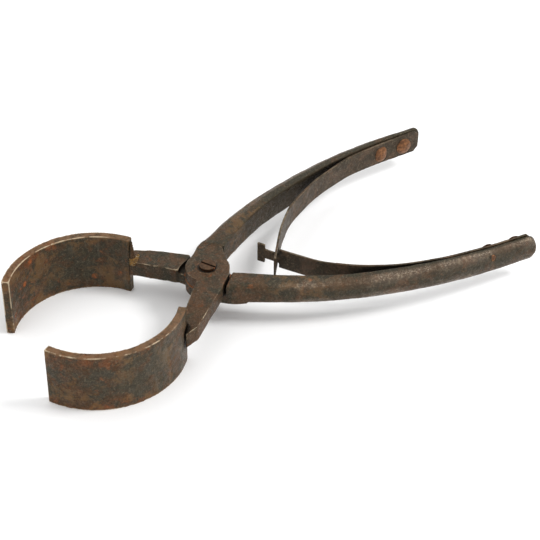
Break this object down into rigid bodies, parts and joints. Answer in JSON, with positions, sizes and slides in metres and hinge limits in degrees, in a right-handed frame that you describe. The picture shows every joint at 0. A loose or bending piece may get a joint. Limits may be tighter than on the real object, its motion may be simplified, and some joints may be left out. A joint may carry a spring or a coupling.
{
  "type": "band jaw tongs",
  "caption": "Hand tongs whose two curved band jaws clamp round a cylinder, with a screw pivot and leaf springs riveted inside the handles.",
  "frame": {"origin": "bottom centre of the box round the whole open tool, under the pivot's symmetry plane", "axes": "+X from the jaws towards the handle ends, +Y to the slotted spring's side, +Z along the pivot screw towards its head"},
  "size_m": [0.2526, 0.1132, 0.032],
  "materials": {
    "forged_steel": "old forged steel, dark brown patina with rust",
    "band_steel": "dark strip steel with rust patches and brown edges",
    "spring_steel": "dull dark brown spring strip",
    "copper": "tarnished copper",
    "screw_steel": "reddish brown worn steel"
  },
  "bodies": {
    "pivot": {"pivot_screw": "screw_steel"},
    "upper": {"upper_lever": "forged_steel", "upper_jaw_band": "band_steel", "slotted_spring": "spring_steel", "upper_front_rivet": "copper", "upper_rear_rivet": "copper"},
    "lower": {"lower_lever": "forged_steel", "lower_jaw_band": "band_steel", "tongue_spring": "spring_steel", "lower_front_rivet": "copper", "lower_rear_rivet": "copper"}
  },
  "joints": [
    {"name": "upper_hinge", "type": "hinge", "parent": "pivot", "child": "upper", "pos_m": [-0.03016, 0, 0.0184], "axis": [0, 0, -1], "range_deg": [-1, 14], "stiffness_Nm_per_rad": 1.9, "deforming": ["slotted_spring"]},
    {"name": "lower_hinge", "type": "hinge", "parent": "pivot", "child": "lower", "pos_m": [-0.03016, 0, 0.0184], "axis": [0, 0, 1], "range_deg": [-1, 14], "stiffness_Nm_per_rad": 1.9, "deforming": ["tongue_spring"]}
  ],
  "couplings": [
    {"joint": "lower_hinge", "follows": "upper_hinge", "ratio": 1}
  ]
}
